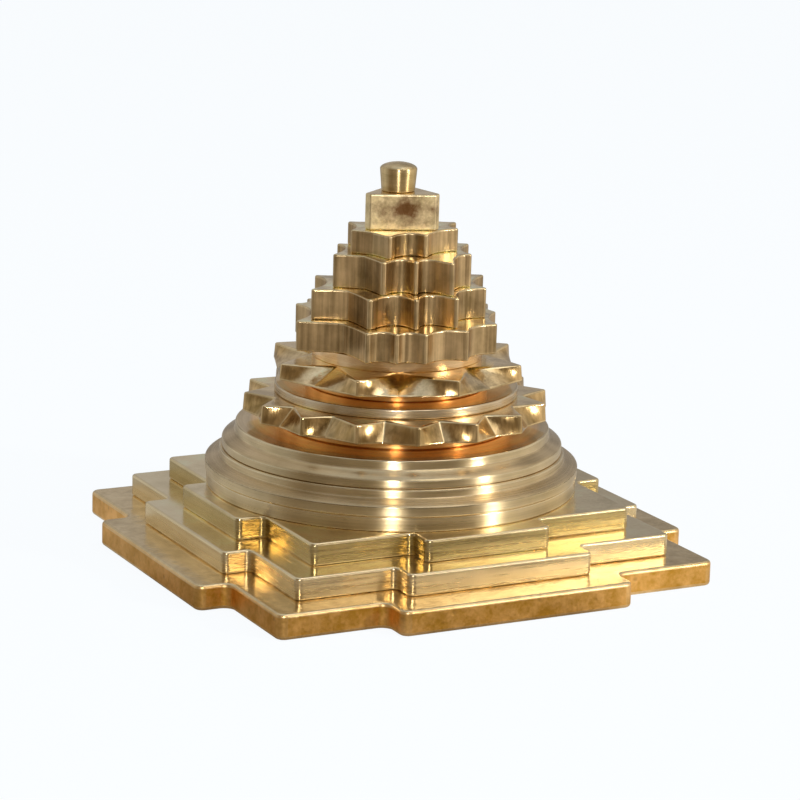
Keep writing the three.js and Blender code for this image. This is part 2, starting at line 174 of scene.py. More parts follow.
def curve_shares():
    """Shares along a curve. Its first and last stretch leave room to round its corners."""
    middle = 1 - 2 * CURVE_END
    return [0.0] + [CURVE_END + middle * k / (CURVE_STEPS - 2) for k in range(CURVE_STEPS - 1)]


def corner_arc(p, a, b, turn, radius, support):
    """The rounding of one corner p between the sides a and b, as (point, wear and painted
    highlight) pairs.
    """
    reach = min(radius * math.tan(turn / 2), a.length * LONGEST_REACH, b.length * LONGEST_REACH)
    r = reach / math.tan(turn / 2)
    a, b = a.normalized(), b.normalized()
    centre = p + (a + b).normalized() * (r / math.cos(turn / 2))
    start, end = p + a * reach - centre, p + b * reach - centre
    sweep = math.atan2(start.x * end.y - start.y * end.x, start.dot(end))
    outward = 1.0 if sweep > 0 else 0.0
    made = []
    for k in range(ROUNDING_STEPS + 1):
        c, s = math.cos(sweep * k / ROUNDING_STEPS), math.sin(sweep * k / ROUNDING_STEPS)
        arm = Vector((start.x * c - start.y * s, start.x * s + start.y * c))
        made.append((centre + arm, outward))
    if support:
        made.insert(0, (p + a * (reach + support), 0.0))
        made.append((p + b * (reach + support), 0.0))
    return made


def fillet(points, radius, corners=None, closed=True, support=0.0):
    """Rounds the given corners of a line, or else each sharp one. Returns (point, mark) pairs,
    with a mark of 1 for wear and painted highlight on an outward rounding."""
    made = []
    count = len(points)
    for i, p in enumerate(points):
        if not closed and i in (0, count - 1):
            made.append((p.copy(), 0.0))
            continue
        a, b = points[i - 1] - p, points[(i + 1) % count] - p
        turn = math.pi - a.angle(b)
        if corners is None:
            rounded = math.degrees(turn) >= LEAST_TURN
        else:
            rounded = i in corners
        if rounded:
            made += corner_arc(p, a, b, turn, radius, support)
        else:
            made.append((p.copy(), 0.0))
    return made


def shifted(points, distance):
    """A closed line moved outwards by a distance."""
    made = []
    count = len(points)
    for i, p in enumerate(points):
        a = (p - points[i - 1]).normalized()
        b = (points[(i + 1) % count] - p).normalized()
        na, nb = Vector((a.y, -a.x)), Vector((b.y, -b.x))
        n = (na + nb).normalized()
        made.append(p + n * (distance / max(LEAST_MITRE, n.dot(na))))
    return made


def gate_outline(side, span, width):
    quarter = [(side / 2, -width / 2), (span / 2, -width / 2), (span / 2, width / 2),
               (side / 2, width / 2), (side / 2, side / 2)]
    turns = [Matrix.Rotation(math.pi / 2 * k, 2) for k in range(4)]
    return [t @ Vector(p) for t in turns for p in quarter]


def star_outline(radius, corners, hollows):
    points = []
    for i, (angle, share) in enumerate(corners):
        next_angle, next_share = corners[(i + 1) % len(corners)]
        a = polar(radius * share, TOWER_TURN + angle)
        b = polar(radius * next_share, TOWER_TURN + next_angle)
        middle = polar(radius * hollows[i][1], TOWER_TURN + hollows[i][0])
        bend = middle * 2 - (a + b) / 2
        crease = CREASE if i == CREASED_HOLLOW else 0.0
        for t in curve_shares():
            flat = a.lerp(middle, 2 * t) if t < 0.5 else middle.lerp(b, 2 * t - 1)
            points.append(bezier([a, bend, b], t).lerp(flat, crease))
    return points


def petal_outline(count, turn, tip_radius, gap_radius, shifts, shoulder=None):
    half = 180 / count
    tip = Vector((tip_radius, 0))
    points = []
    for petal in range(count):
        swing = Matrix.Rotation(math.radians(turn + 2 * half * petal), 2)
        for side in (-1, 1):
            index = petal if side > 0 else (petal - 1) % count
            shift = shifts[index] if index < len(shifts) else 0.0
            gap = polar(gap_radius, side * half + shift)
            near_tip, near_gap = tip.lerp(gap, 1 / 3), tip.lerp(gap, 2 / 3)
            if shoulder:
                depth, width = shoulder
                near_tip = Vector((tip_radius - depth, side * width))
                near_gap = near_tip.lerp(gap, SHOULDER_PULL)
            curve = [gap, near_gap, near_tip, tip]
            if side > 0:
                curve.reverse()
            points += [swing @ bezier(curve, t) for t in curve_shares()]
    return points


def triangle_outline(radius, turn, blunt):
    side = radius * math.sqrt(3)
    points = []
    for corner in range(3):
        tip = polar(radius, turn + corner * 120)
        for other in (-1, 1):
            next_tip = polar(radius, turn + (corner + other) * 120)
            points.append(tip.lerp(next_tip, blunt / side))
    return points


def circle(radius, sides, centre=(0, 0)):
    return [Vector(centre) + polar(radius, 360 * k / sides) for k in range(sides)]


# Stacks of rings, from the bottom up, as lists of (x, y, z, wear and painted highlight)

def edge_profile(z0, z1, edge, between=0):
    """Offset, height, and wear and painted highlight up the side of a plate with rounded edges."""
    run = END_RUN * edge
    line = [Vector((-run, z0)), Vector((0, z0)), Vector((0, z1)), Vector((-run, z1))]
    marked = fillet(line, edge, closed=False, support=SUPPORT)[1:-1]
    made = [(p.x, p.y, wear) for p, wear in marked]
    half = len(made) // 2
    low, high = made[half - 1][1], made[half][1]
    rise = (high - low) / (between + 1)
    return made[:half] + [(0, low + rise * (k + 1), 0) for k in range(between)] + made[half:]


def side_ring(points, marks, offset, z, wear):
    """An outline at one height. marks says which of its points lie on rounded corners."""
    return [(q.x, q.y, z, max(wear, own * UPRIGHT_WEAR_AND_HIGHLIGHT))
            for q, own in zip(shifted(points, offset), marks)]


def plate_rings(outline, z0, z1, edge=EDGE, tip=TIP):
    marked = fillet(outline, tip, support=SUPPORT)
    points, marks = [p for p, _ in marked], [own for _, own in marked]
    return [side_ring(points, marks, *ring) for ring in edge_profile(z0, z1, edge)]


def loft_rings(bottom, top, z0, z1, corners):
    """Plate whose outline changes from the bottom to the top."""
    low = fillet(bottom, TIP, corners=corners)
    high = fillet(top, TIP, corners=corners)
    marks = [own for _, own in high]
    rings = []
    for offset, z, wear in edge_profile(z0, z1, EDGE, between=LOFT_LEVELS):
        t = (z - z0) / (z1 - z0)
        points = [a.lerp(b, t) for (a, _), (b, _) in zip(low, high)]
        rings.append(side_ring(points, marks, offset, z, wear))
    return rings


def turned_rings(profile, centre=(0, 0), edge=EDGE):
    """Turned body from its radius and height, from the bottom edge to the top edge."""
    first, last = profile[0], profile[-1]
    line = [Vector((0, first[1]))] + [Vector(p) for p in profile] + [Vector((0, last[1]))]
    marked = fillet(line, edge, closed=False, support=SUPPORT)[1:-1]
    return [
        [(*q, p.y, wear) for q in circle(p.x, TURNED_SIDES, centre)]
        for p, wear in marked
    ]


# Holes, as (x, y, [(radius, z), ...]) from bottom to top

def bore(x, y, radius, z0, z1):
    """A hole from one level to the next. A level outside the piece means that it opens there."""
    return x, y, [(radius, z0), (radius, z1)]


def stud_hole():
    return bore(0, 0, STUD_BORE, *THROUGH)


def pin_holes(z0=THROUGH[0], z1=THROUGH[1]):
    return [bore(side * PIN_X, 0, PIN_BORE, z0, z1) for side in (-1, 1)]


def tower_hole(z0=THROUGH[0], z1=THROUGH[1]):
    return bore(*polar(TOWER_PIN_OFFSET, TOWER_TURN), TOWER_BORE, z0, z1)


class Body:
    """A closed body in the making: its points, their wear and painted highlight, and its faces."""

    def __init__(self):
        self.verts, self.wear, self.faces = [], [], []
        self.level_faces = set()

    def loop(self, points):
        """Adds a closed line and returns the numbers of its points."""
        start = len(self.verts)
        for x, y, z, wear in points:
            self.verts.append((x * MM, y * MM, z * MM))
            self.wear.append(wear)
        return list(range(start, len(self.verts)))

    def wall(self, lower, upper, inward=False):
        n = len(lower)
        for i in range(n):
            j = (i + 1) % n
            quad = (lower[i], lower[j], upper[j], upper[i])
            self.faces.append(quad[::-1] if inward else quad)

    def places(self, numbers):
        return [Vector(self.verts[i][:2]) / MM for i in numbers]

    def cap(self, outer, inner, up):
        """Level face inside a closed line, but not inside the round lines within it."""
        flat, edges, bores = [], [], []
        for line in (outer, *inner):
            start = len(flat)
            flat += line
            edges += [(start + k, start + (k + 1) % len(line)) for k in range(len(line))]
        for line in inner:
            points = self.places(line)
            middle = sum(points, Vector((0, 0))) / len(points)
            bores.append((middle, (points[0] - middle).length))
        spots, _, triangles, sources, _, _ = delaunay_2d_cdt(
            self.places(flat), edges, [], TRIANGLES_INSIDE, SAME_POINT)
        for tri in triangles:
            centre = sum((spots[k] for k in tri), Vector((0, 0))) / 3
            if any((centre - middle).length < radius for middle, radius in bores):
                continue
            self.level_faces.add(len(self.faces))
            tri = [flat[sources[k][0]] for k in tri]
            self.faces.append(tri if up else tri[::-1])

    def stack(self, rings, holes):
        """Walls through a stack of rings, the holes and the level faces at both ends."""
        bottom_z, top_z = rings[0][0][2], rings[-1][0][2]
        outer = [self.loop(points) for points in rings]
        for lower, upper in zip(outer, outer[1:]):
            self.wall(lower, upper)
        ends = {False: [], True: []}
        for x, y, profile in holes:
            made = []
            for radius, z in profile:
                z = min(max(z, bottom_z), top_z)
                made.append(self.loop([(*p, z, 0.0) for p in circle(radius, BORE_SIDES, (x, y))]))
            for lower, upper in zip(made, made[1:]):
                self.wall(lower, upper, inward=True)
            for line, z, is_top in ((made[0], profile[0][1], False),
                                    (made[-1], profile[-1][1], True)):
                if z <= bottom_z or z >= top_z:
                    ends[is_top].append(line)
                else:
                    self.cap(line, [], up=not is_top)
        self.cap(outer[0], ends[False], up=False)
        self.cap(outer[-1], ends[True], up=True)

    def mesh(self, name):
        mesh = bpy.data.meshes.new(name)
        mesh.from_pydata(self.verts, [], self.faces)
        mesh.attributes.new("wear", "FLOAT", "POINT").data.foreach_set("value", self.wear)
        smooth = [i not in self.level_faces for i in range(len(self.faces))]
        mesh.polygons.foreach_set("use_smooth", smooth)
        mesh.set_sharp_from_angle(angle=math.radians(SHARP_BEND))
        return mesh


def add_piece(node, rings, holes, material, slot_name):
    """The dressed piece that takes the place of one CAD piece."""
    name = node + "_visual"
    body = Body()
    body.stack(rings, holes)
    mesh = body.mesh(name)
    mesh.materials.append(material)
    piece = bpy.data.objects.new(name, mesh)
    bpy.context.scene.collection.objects.link(piece)
    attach(piece, "root")
    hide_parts(node)


# Looks. Noise scales are per metre and bump heights in metres. A row of four numbers maps the
# range of its first two on that of its last two.

LEVEL_SLOPES = (0.55, 0.85)          # upward part of the normal on upright and on level faces
CLOUDS = 130.0
FINE_GRAIN = 2500.0
CAST_GRAIN = 520.0
TURNED_LINES, TURNED_BANDS = 4200.0, 800.0
STRAIGHT_MARKS = {                   # scale along the height, scale across
    "upright": (60.0, 1900.0),
    "level": (2600.0, 60.0),
}
BAND_SCALE = 1 / 4                   # scale of the broad marks beside that of the fine ones
TONE_WEIGHTS = (0.4, 0.35, 0.25)     # bands, clouds, lines
TONES = (0.38, 0.62)                 # from the dark tone to the light one
DARK_SATURATION, LIGHT_SATURATION = 1.08, 0.94
WEAR_AND_HIGHLIGHT_CLOUDS = (0.2, 0.6, 0.4, 1.0)          # clouds that thin the wear and painted highlight
# share of the bright edge colour, partly wear and partly painted highlight, and the polish of a
# worn edge
WEAR_AND_HIGHLIGHT_COLOR, WORN_POLISH = 0.5, 0.05
LINE_ROUGHNESS = (0.3, 0.7, -0.04, 0.06)
LINE_HEIGHT, BAND_HEIGHT = 0.00002, 0.00006
STRETCH_TURN = 0.25                  # a quarter turn lays the highlights across the marks
PAINTED_REFLECTION_RIM = (-0.4, 0.2)              # millimetres about the radius of a painted reflection
PATCH_BLOTCHES = 500.0
PATCH_RAGGED = (0.3, 0.7, -0.5, 0.5)
PATCH_RIM = (0.3, 1.3)
PITS, PIT_SIZE = 420.0, (0.06, 0.2, 1.0, 0.0)
PIT_FIELDS, PIT_FIELD_RIM = 160.0, (0.5, 0.62)
PIT_COLOR = (0.16, 0.09, 0.03, 1)
PIT_DEPTH, CAST_WAVES = 0.00012, 0.0003


class Nodes:
    """Short ways to build the nodes of a material or of the world."""

    def __init__(self, owner):
        owner.use_nodes = True
        self.tree = owner.node_tree
        self.tree.nodes.clear()

    def add(self, kind, inputs=None, **settings):
        """Adds a node. An input that is another node's output is linked, a value is set."""
        node = self.tree.nodes.new("ShaderNode" + kind)
        for key, value in settings.items():
            setattr(node, key, value)
        for key, value in (inputs or {}).items():
            if isinstance(value, bpy.types.NodeSocket):
                self.tree.links.new(value, node.inputs[key])
            else:
                node.inputs[key].default_value = value
        return node

    def math(self, operation, a, b=0.0, clamp=False):
        return self.add("Math", {0: a, 1: b}, operation=operation, use_clamp=clamp).outputs[0]

    def vector(self, operation, a, b):
        return self.add("VectorMath", {0: a, 1: b}, operation=operation).outputs[0]

    def length(self, vector):
        return self.add("VectorMath", {0: vector}, operation="LENGTH").outputs["Value"]

    def range(self, value, low, high, to_low=0.0, to_high=1.0, kind="LINEAR"):
        return self.add("MapRange", {"Value": value, "From Min": low, "From Max": high,
                                     "To Min": to_low, "To Max": to_high},
                        interpolation_type=kind).outputs[0]

    def mix(self, share, a, b):
        """Colour between a and b, which are the node's inputs 6 and 7."""
        return self.add("Mix", {0: share, 6: a, 7: b}, data_type="RGBA").outputs[2]

    def noise(self, vector, scale, detail=2.0, roughness=0.5):
        return self.add("TexNoise", {"Vector": vector, "Scale": scale, "Detail": detail,
                                     "Roughness": roughness}).outputs["Fac"]

    def bump(self, height, strength, distance, normal=None):
        inputs = {"Height": height, "Strength": strength, "Distance": distance}
        if normal is not None:
            inputs["Normal"] = normal
        return self.add("Bump", inputs).outputs[0]

    def upward(self):
        """1 on level faces, 0 on upright ones."""
        normal = self.add("NewGeometry").outputs["Normal"]
        z = self.add("SeparateXYZ", {0: normal}).outputs[2]
        return self.range(self.math("ABSOLUTE", z), *LEVEL_SLOPES)

    def shade(self, color, value, saturation):
        inputs = {"Color": color, "Value": value, "Saturation": saturation}
        return self.add("HueSaturation", inputs).outputs[0]

    def around_axis(self, where):
        """Distance from the axis, and height."""
        parts = self.add("SeparateXYZ", {0: where}).outputs
        flat = self.add("CombineXYZ", {0: parts[0], 1: parts[1]}).outputs[0]
        return self.length(flat), parts[2]


def tool_marks(n, kind, where, up, cloud):
    """Fine lines and broad bands: 'turned' about the axis, 'upright' or 'level', or 'none'."""
    if kind == "turned":
        radius, height = n.around_axis(where)
        place = n.add("CombineXYZ", {0: radius, 1: height}).outputs[0]
        return (n.noise(place, TURNED_LINES, detail=3.0, roughness=0.7),
                n.noise(place, TURNED_BANDS))
    fine = n.noise(where, FINE_GRAIN, detail=3.0, roughness=0.6)
    if kind == "none":
        return fine, n.noise(where, CAST_GRAIN, detail=3.0, roughness=0.6)
    along, across = STRAIGHT_MARKS[kind]
    scale = Vector((across, across, along))
    lines = n.noise(n.vector("MULTIPLY", where, scale), 1.0, detail=3.0, roughness=0.65)
    bands = n.noise(n.vector("MULTIPLY", where, scale * BAND_SCALE), 1.0)
    return n.mix(up, lines, fine), n.mix(up, bands, cloud)


def with_patch(n, where, color, centre, size, patch_color):
    """A ragged dark patch on a colour."""
    offset = n.vector("SUBTRACT", where, [v * MM for v in centre])
    away = n.length(n.vector("MULTIPLY", offset, [1 / (v * MM) for v in size]))
    blotch = n.noise(where, PATCH_BLOTCHES, detail=5.0, roughness=0.65)
    away = n.math("ADD", away, n.range(blotch, *PATCH_RAGGED))
    return n.mix(n.range(away, *PATCH_RIM), (*patch_color, 1), color)


def with_pits(n, pits, where, up, cloud, color, normal):
    """The small dark pits and the waves of a cast skin, on upright faces."""
    spots = n.add("TexVoronoi", {"Vector": where, "Scale": PITS, "Randomness": 1.0},
                  feature="F1").outputs["Distance"]
    hole = n.range(spots, *PIT_SIZE)
    hole = n.math("MULTIPLY", hole, n.range(n.noise(where, PIT_FIELDS), *PIT_FIELD_RIM))
    hole = n.math("MULTIPLY", hole, n.math("SUBTRACT", 1.0, up))
    color = n.mix(n.math("MULTIPLY", hole, pits), color, PIT_COLOR)
    normal = n.bump(n.math("SUBTRACT", 1.0, hole), pits, PIT_DEPTH, normal)
    return color, n.bump(cloud, pits, CAST_WAVES, normal)


def body_color(n, where, up, side, top, painted_reflection, patch):
    """Colour before the edges' wear and painted highlight. A painted reflection is a radius and a
    colour, a patch a centre, size and colour.
    """
    level_color, upright_color = (*top, 1), (*side, 1)
    # Painted reflection: level faces inside the radius take the orange of light bounced from the
    # neck above.
    if painted_reflection:
        reach, reflection_color = painted_reflection
        radius, _ = n.around_axis(where)
        rim = [(reach + step) * MM for step in PAINTED_REFLECTION_RIM]
        level_color = n.mix(n.range(radius, *rim), (*reflection_color, 1), level_color)
    if patch:
        upright_color = with_patch(n, where, upright_color, *patch)
    # Upright faces take the side colour and level faces the top colour; the difference is partly
    # painted shade and light, partly the real finishes.
    return n.mix(up, upright_color, level_color)


def metal(name, side, top, edge, side_rough, top_rough, marks, grain=0.5, mottle=0.12, pits=0.0,
          stretch=0.0, painted_reflection=None, patch=None, clouds=CLOUDS):
    """Metal with colours on upright faces, level faces and rounded edges. The bright edges are
    partly wear, partly painted highlight; the split between upright and level colours is partly
    painted shade and light.
    """
    material = bpy.data.materials.new(name)
    n = Nodes(material)
    where = n.add("TexCoord").outputs["Object"]
    up = n.upward()
    wear = n.add("Attribute", attribute_name="wear", attribute_type="GEOMETRY").outputs["Fac"]
    cloud = n.noise(where, clouds, detail=4.0, roughness=0.6)
    lines, bands = tool_marks(n, marks, where, up, cloud)

    body = body_color(n, where, up, side, top, painted_reflection, patch)
    parts = [n.math("MULTIPLY", value, weight)
             for value, weight in zip((bands, cloud, lines), TONE_WEIGHTS)]
    tone = n.math("ADD", n.math("ADD", parts[0], parts[1]), parts[2])
    color = n.mix(n.range(tone, *TONES), n.shade(body, 1.0 - mottle, DARK_SATURATION),
                  n.shade(body, 1.0 + mottle, LIGHT_SATURATION))
    # Rounded edges take the bright edge colour: partly wear, partly painted highlight.
    wear_and_highlight_share = n.math("MULTIPLY", wear, n.range(cloud, *WEAR_AND_HIGHLIGHT_CLOUDS), clamp=True)
    color = n.mix(n.math("MULTIPLY", wear_and_highlight_share, WEAR_AND_HIGHLIGHT_COLOR), color, (*edge, 1))

    rough = n.range(up, 0.0, 1.0, side_rough, top_rough)
    rough = n.math("ADD", rough, n.range(lines, *LINE_ROUGHNESS))
    rough = n.math("SUBTRACT", rough, n.math("MULTIPLY", wear_and_highlight_share, WORN_POLISH), clamp=True)
    normal = n.bump(lines, grain, LINE_HEIGHT)
    normal = n.bump(bands, grain / 2, BAND_HEIGHT, normal)
    if pits:
        color, normal = with_pits(n, pits, where, up, cloud, color, normal)

    inputs = {"Base Color": color, "Metallic": 1.0, "Roughness": rough, "Normal": normal}
    if stretch:
        tangent = n.add("Tangent", direction_type="RADIAL", axis="Z").outputs[0]
        inputs.update({"Anisotropic": stretch, "Tangent": tangent,
                       "Anisotropic Rotation": STRETCH_TURN})
    shader = n.add("BsdfPrincipled", inputs).outputs[0]
    n.add("OutputMaterial", {"Surface": shader})
    return material


# Side and top colours below are partly painted shade and light, set for how the light falls on
# upright and level faces; edge colours are partly painted highlight beside wear.
TURNED_LOOK = dict(side=(0.78, 0.635, 0.39), top=(0.72, 0.56, 0.33), edge=(0.98, 0.86, 0.60),
                   side_rough=0.3, marks="turned", grain=0.8, mottle=0.22, stretch=1.0)
CAST = metal(
    "cast_brass", side=(0.80, 0.45, 0.115), top=(0.86, 0.69, 0.42), edge=(0.98, 0.82, 0.52),
    side_rough=0.42, top_rough=0.2, marks="none", mottle=0.2, pits=0.5)
POLISHED = metal(
    "polished_brass", side=(0.52, 0.40, 0.17), top=(0.98, 0.84, 0.57), edge=(0.98, 0.84, 0.56),
    side_rough=0.26, top_rough=0.17, marks="level", grain=0.11, mottle=0.18, stretch=0.5)
BRIGHT = metal(
    "bright_brass", side=(0.80, 0.65, 0.39), top=(0.98, 0.85, 0.59), edge=(0.98, 0.84, 0.56),
    side_rough=0.28, top_rough=0.17, marks="level", grain=0.11, mottle=0.12, stretch=0.5)
TURNED = metal("turned_brass", top_rough=0.24, **TURNED_LOOK)
# Its top carries a painted reflection: the orange of the neck above, mirrored round its foot.
TURNED_OVER_NECK = metal(
    "turned_brass_groove", top_rough=0.14, painted_reflection=(20.6, (1.0, 0.63, 0.27)), **TURNED_LOOK)
# Its top carries a painted reflection: the orange of the neck above, mirrored round its foot.
RING = metal(
    "ring_brass", side=(0.76, 0.62, 0.43), top=(0.78, 0.60, 0.34), edge=(0.84, 0.70, 0.50),
    side_rough=0.28, top_rough=0.12, marks="turned", grain=0.4, mottle=0.14, stretch=0.7,
    painted_reflection=(16.2, (1.0, 0.66, 0.31)))
MACHINED = metal(
    "machined_brass", side=(0.50, 0.352, 0.175), top=(0.96, 0.80, 0.50), edge=(0.98, 0.80, 0.48),
    side_rough=0.33, top_rough=0.12, marks="upright", grain=0.9, mottle=0.5, clouds=2 * CLOUDS)
PETAL = metal(
    "petal_brass", side=(0.60, 0.41, 0.18), top=(0.90, 0.71, 0.43), edge=(0.98, 0.80, 0.48),
    side_rough=0.2, top_rough=0.12, marks="upright", grain=0.9, mottle=0.34)
BLOCK = metal(
    "block_brass", side=(0.90, 0.74, 0.43), top=(0.86, 0.68, 0.40), edge=(1.0, 0.86, 0.56),
    side_rough=0.42, top_rough=0.16, marks="none", mottle=0.25,
    patch=((-0.9, -3.0, 49.9), (4.3, 4.3, 2.4), (0.20, 0.10, 0.04)))
KNOB = metal(
    "knob_brass", side=(0.72, 0.55, 0.28), top=(0.80, 0.64, 0.38), edge=(0.98, 0.84, 0.56),
    side_rough=0.34, top_rough=0.2, marks="turned", mottle=0.2, stretch=0.9)
SEAT = metal(
    "seat_brass", side=(0.92, 0.64, 0.35), top=(0.94, 0.68, 0.37), edge=(0.95, 0.74, 0.46),
    side_rough=0.2, top_rough=0.09, marks="turned", grain=0.3, mottle=0.16, stretch=0.3)
# The necks' bright orange is partly painted reflection: light bounced between the brass faces
# around them.
GROOVE = metal(
    "groove_brass", side=(1.0, 0.61, 0.26), top=(1.0, 0.61, 0.26), edge=(1.0, 0.70, 0.36),
    side_rough=0.3, top_rough=0.22, marks="turned", stretch=0.9)
STEEL = metal(
    "fastener_steel", side=(0.45, 0.46, 0.47), top=(0.5, 0.51, 0.52), edge=(0.7, 0.7, 0.7),
    side_rough=0.35, top_rough=0.32, marks="turned", grain=0.4)


# Pieces

PLATE_LOOKS = {"gate_plate_lower": (CAST, "cast_brass"),
               "gate_plate_middle": (BRIGHT, "polished_brass"),
               "gate_plate_upper": (POLISHED, "polished_brass")}
RING_LOOKS = {"neck_lower": (GROOVE, "groove_brass"),
              "circle_disc_lower": (RING, "polished_brass"),
              "neck_upper": (GROOVE, "groove_brass"),
              "circle_disc_upper": (SEAT, "polished_brass")}
FASTENERS = ("tie_stud", "base_washer", "base_nut", "base_pin_left", "base_pin_right", "tower_pin")


def add_gate_plates():
    for node, sizes in GATE_PLATES.items():
        z0, z1 = level(node)
        holes = [stud_hole(), *pin_holes()]
        if node == "gate_plate_lower":
            radius, depth = COUNTERBORE
            stepped = [(radius, THROUGH[0]), (radius, depth), (STUD_BORE, depth),
                       (STUD_BORE, THROUGH[1])]
            holes = [(0, 0, stepped), *pin_holes(z0=level("base_pin_left")[0] - PIN_GAP)]
        rings = plate_rings(gate_outline(*sizes), z0, z1, *PLATE_ROUNDINGS[node])
        add_piece(node, rings, holes, *PLATE_LOOKS[node])


def add_plain_step():
    z0, z1 = level("circle_step_lower")
    rings = turned_rings([(PLAIN_STEP_RADIUS, z0), (PLAIN_STEP_RADIUS, z1)], STEP_CENTRE)
    add_piece("circle_step_lower", rings, [stud_hole(), *pin_holes()], TURNED, "polished_brass")


def cove_profile(z0, z1, rim, wall, rim_share):
    """A rim, a cove that eases in to the wall, and the wall."""
    rim_z = z0 + (z1 - z0) * rim_share
    wall_z = z1 - (z1 - z0) * WALL_SHARE
    profile = [(rim, z0)]
    for k in range(CURVE_STEPS + 1):
        ease = (1 - math.cos(math.pi * k / CURVE_STEPS)) / 2
        profile.append((rim + (wall - rim) * ease, rim_z + (wall_z - rim_z) * k / CURVE_STEPS))
    return profile + [(wall, z1)]


def add_cove_steps():
    for node, sizes in COVE_STEPS.items():
        rings = turned_rings(cove_profile(*level(node), *sizes), STEP_CENTRE)
        holes, material = [stud_hole(), *pin_holes()], TURNED
        if node == "circle_step_upper":
            holes = [stud_hole(), *pin_holes(z1=level("base_pin_left")[1] + PIN_GAP),
                     tower_hole(z0=level("tower_pin")[0] - PIN_GAP)]
            material = TURNED_OVER_NECK
        add_piece(node, rings, holes, material, "polished_brass")


def add_rings():
    for node, radius in RINGS.items():
        z0, z1 = level(node)
        edge = SEAT_EDGE if node == "circle_disc_upper" else EDGE
        rings = turned_rings([(radius, z0), (radius, z1)], edge=edge)
        add_piece(node, rings, [stud_hole(), tower_hole()], *RING_LOOKS[node])


def add_petal_plates():
    for node, (count, turn, tip, foot_gap, top_gap) in PETALS.items():
        shifts = GAP_SHIFTS[node]
        foot = petal_outline(count, turn, tip, foot_gap, shifts)
        top = petal_outline(count, turn, tip, top_gap, shifts, SHOULDERS[node])
        corners = range(0, 2 * count * CURVE_STEPS, CURVE_STEPS)
        rings = loft_rings(foot, top, *level(node), corners)
        add_piece(node, rings, [stud_hole(), tower_hole()], PETAL, "machined_brass")


def add_stars():
    for node, outline in STARS.items():
        holes = [stud_hole(), tower_hole()]
        if node == "eight_corner_plate":
            holes = [stud_hole(), tower_hole(z1=level("tower_pin")[1] + PIN_GAP)]
        rings = plate_rings(star_outline(*outline), *level(node))
        add_piece(node, rings, holes, MACHINED, "machined_brass")


def add_triangle_block():
    rings = plate_rings(triangle_outline(*TRIANGLE), *level("triangle_block"))
    add_piece("triangle_block", rings, [stud_hole()], BLOCK, "polished_brass")


def add_bindu_knob():
    z0, z1 = level("bindu_knob")
    foot, shoulder_radius, shoulder_height = BINDU
    dome = z1 - z0 - shoulder_height
    profile = [(foot, z0)]
    for k in range(CURVE_STEPS):
        a = math.pi / 2 * k / CURVE_STEPS
        profile.append((shoulder_radius * math.cos(a), z0 + shoulder_height + dome * math.sin(a)))
    profile.append((BINDU_FLAT, z1))
    socket = bore(0, 0, STUD_BORE, THROUGH[0], z0 + BINDU_SOCKET)
    add_piece("bindu_knob", turned_rings(profile, BINDU_CENTRE), [socket], KNOB, "polished_brass")


def dress_fasteners():
    for node in FASTENERS:
        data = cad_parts[node].data
        data.materials.clear()
        data.materials.append(STEEL)


# Room, lamps and camera. Azimuths are degrees to the right of the camera's own, elevations
# degrees above the level.

CAMERA_PLACE = Vector((-195.22, -377.77, 124.26))    # millimetres
CAMERA_YAW, CAMERA_PITCH, CAMERA_ROLL = -27.413, 13.529, -1.579
CAMERA_LENS, CAMERA_FRAME = 138.15, 36
CAMERA_NEAR = 0.01                   # metres
TARGET = Vector((0, 0, 26))          # millimetres; the lamps look at it

ROOM_LEFT = (0.47, 0.46, 0.44)
ROOM_PARTS = (                       # colour, azimuth, elevation, cosines at its rim and its core
    ((0.66, 0.61, 0.54), 90.0, 0.0, -0.7, 0.6),
    ((0.21, 0.165, 0.115), -8.0, 25.0, 0.34, 0.60),
    ((0.36, 0.34, 0.32), 186.0, 12.0, 0.6, 0.95),
)
ROOM_TOP, ROOM_TOP_RIM, ROOM_TOP_CORE = (0.55, 0.58, 0.62), 0.84, 0.96
ROOM_SHAPES = 3.0
ROOM_STRENGTH = (0.35, 0.65, 0.65, 1.35)
BACKGROUND = (0.945, 0.975, 1.0, 1)
PAPER = (0.8, 0.81, 0.82, 1)
FLOOR_REACH = 6.0                    # metres
FLOOR_MIRRORED = 0.8                 # share of the room's light in what the metal mirrors
FLOOR_GLOW = 1.06                    # strength of the background's colour on the floor
FLOOR_SEEN = 0.9                     # share of that glow for the camera, the rest keeps the shadow
LAMPS = (                            # azimuth, elevation, metres away, size in metres, watts, tint
    ("front_lamp", 2, 19, 0.9, (0.04, 0.12), 3.0, (1.0, 0.96, 0.90)),
    ("right_lamp", 66, 18, 0.9, (0.04, 0.12), 2.8, (1.0, 0.95, 0.88)),
    ("top_lamp", 60, 65, 1.1, (0.5, 0.5), 1.0, (1.0, 0.98, 0.95)),
)


def seen_from_camera(azimuth, elevation):
    """Direction from the object."""
    around, up = math.radians(CAMERA_YAW - 90 + azimuth), math.radians(elevation)
    return Vector((math.cos(around) * math.cos(up), math.sin(around) * math.cos(up),
                   math.sin(up)))


def towards(n, where, direction, rim, core):
    """Share that grows from 0 to 1 as a direction turns to the given one."""
    cosine = n.add("VectorMath", {0: where, 1: direction}, operation="DOT_PRODUCT")
    return n.range(cosine.outputs["Value"], rim, core, kind="SMOOTHSTEP")


def room_light(n, where):
    """The room's light: cooler on the left, warm on the right, darker in front and behind."""
    light = (*ROOM_LEFT, 1)
    for color, azimuth, elevation, rim, core in ROOM_PARTS:
        share = towards(n, where, seen_from_camera(azimuth, elevation), rim, core)
        light = n.mix(share, light, (*color, 1))
    strength = n.range(n.noise(where, ROOM_SHAPES, detail=3.0), *ROOM_STRENGTH)
    return n.add("VectorMath", {0: light, "Scale": strength}, operation="SCALE").outputs[0]


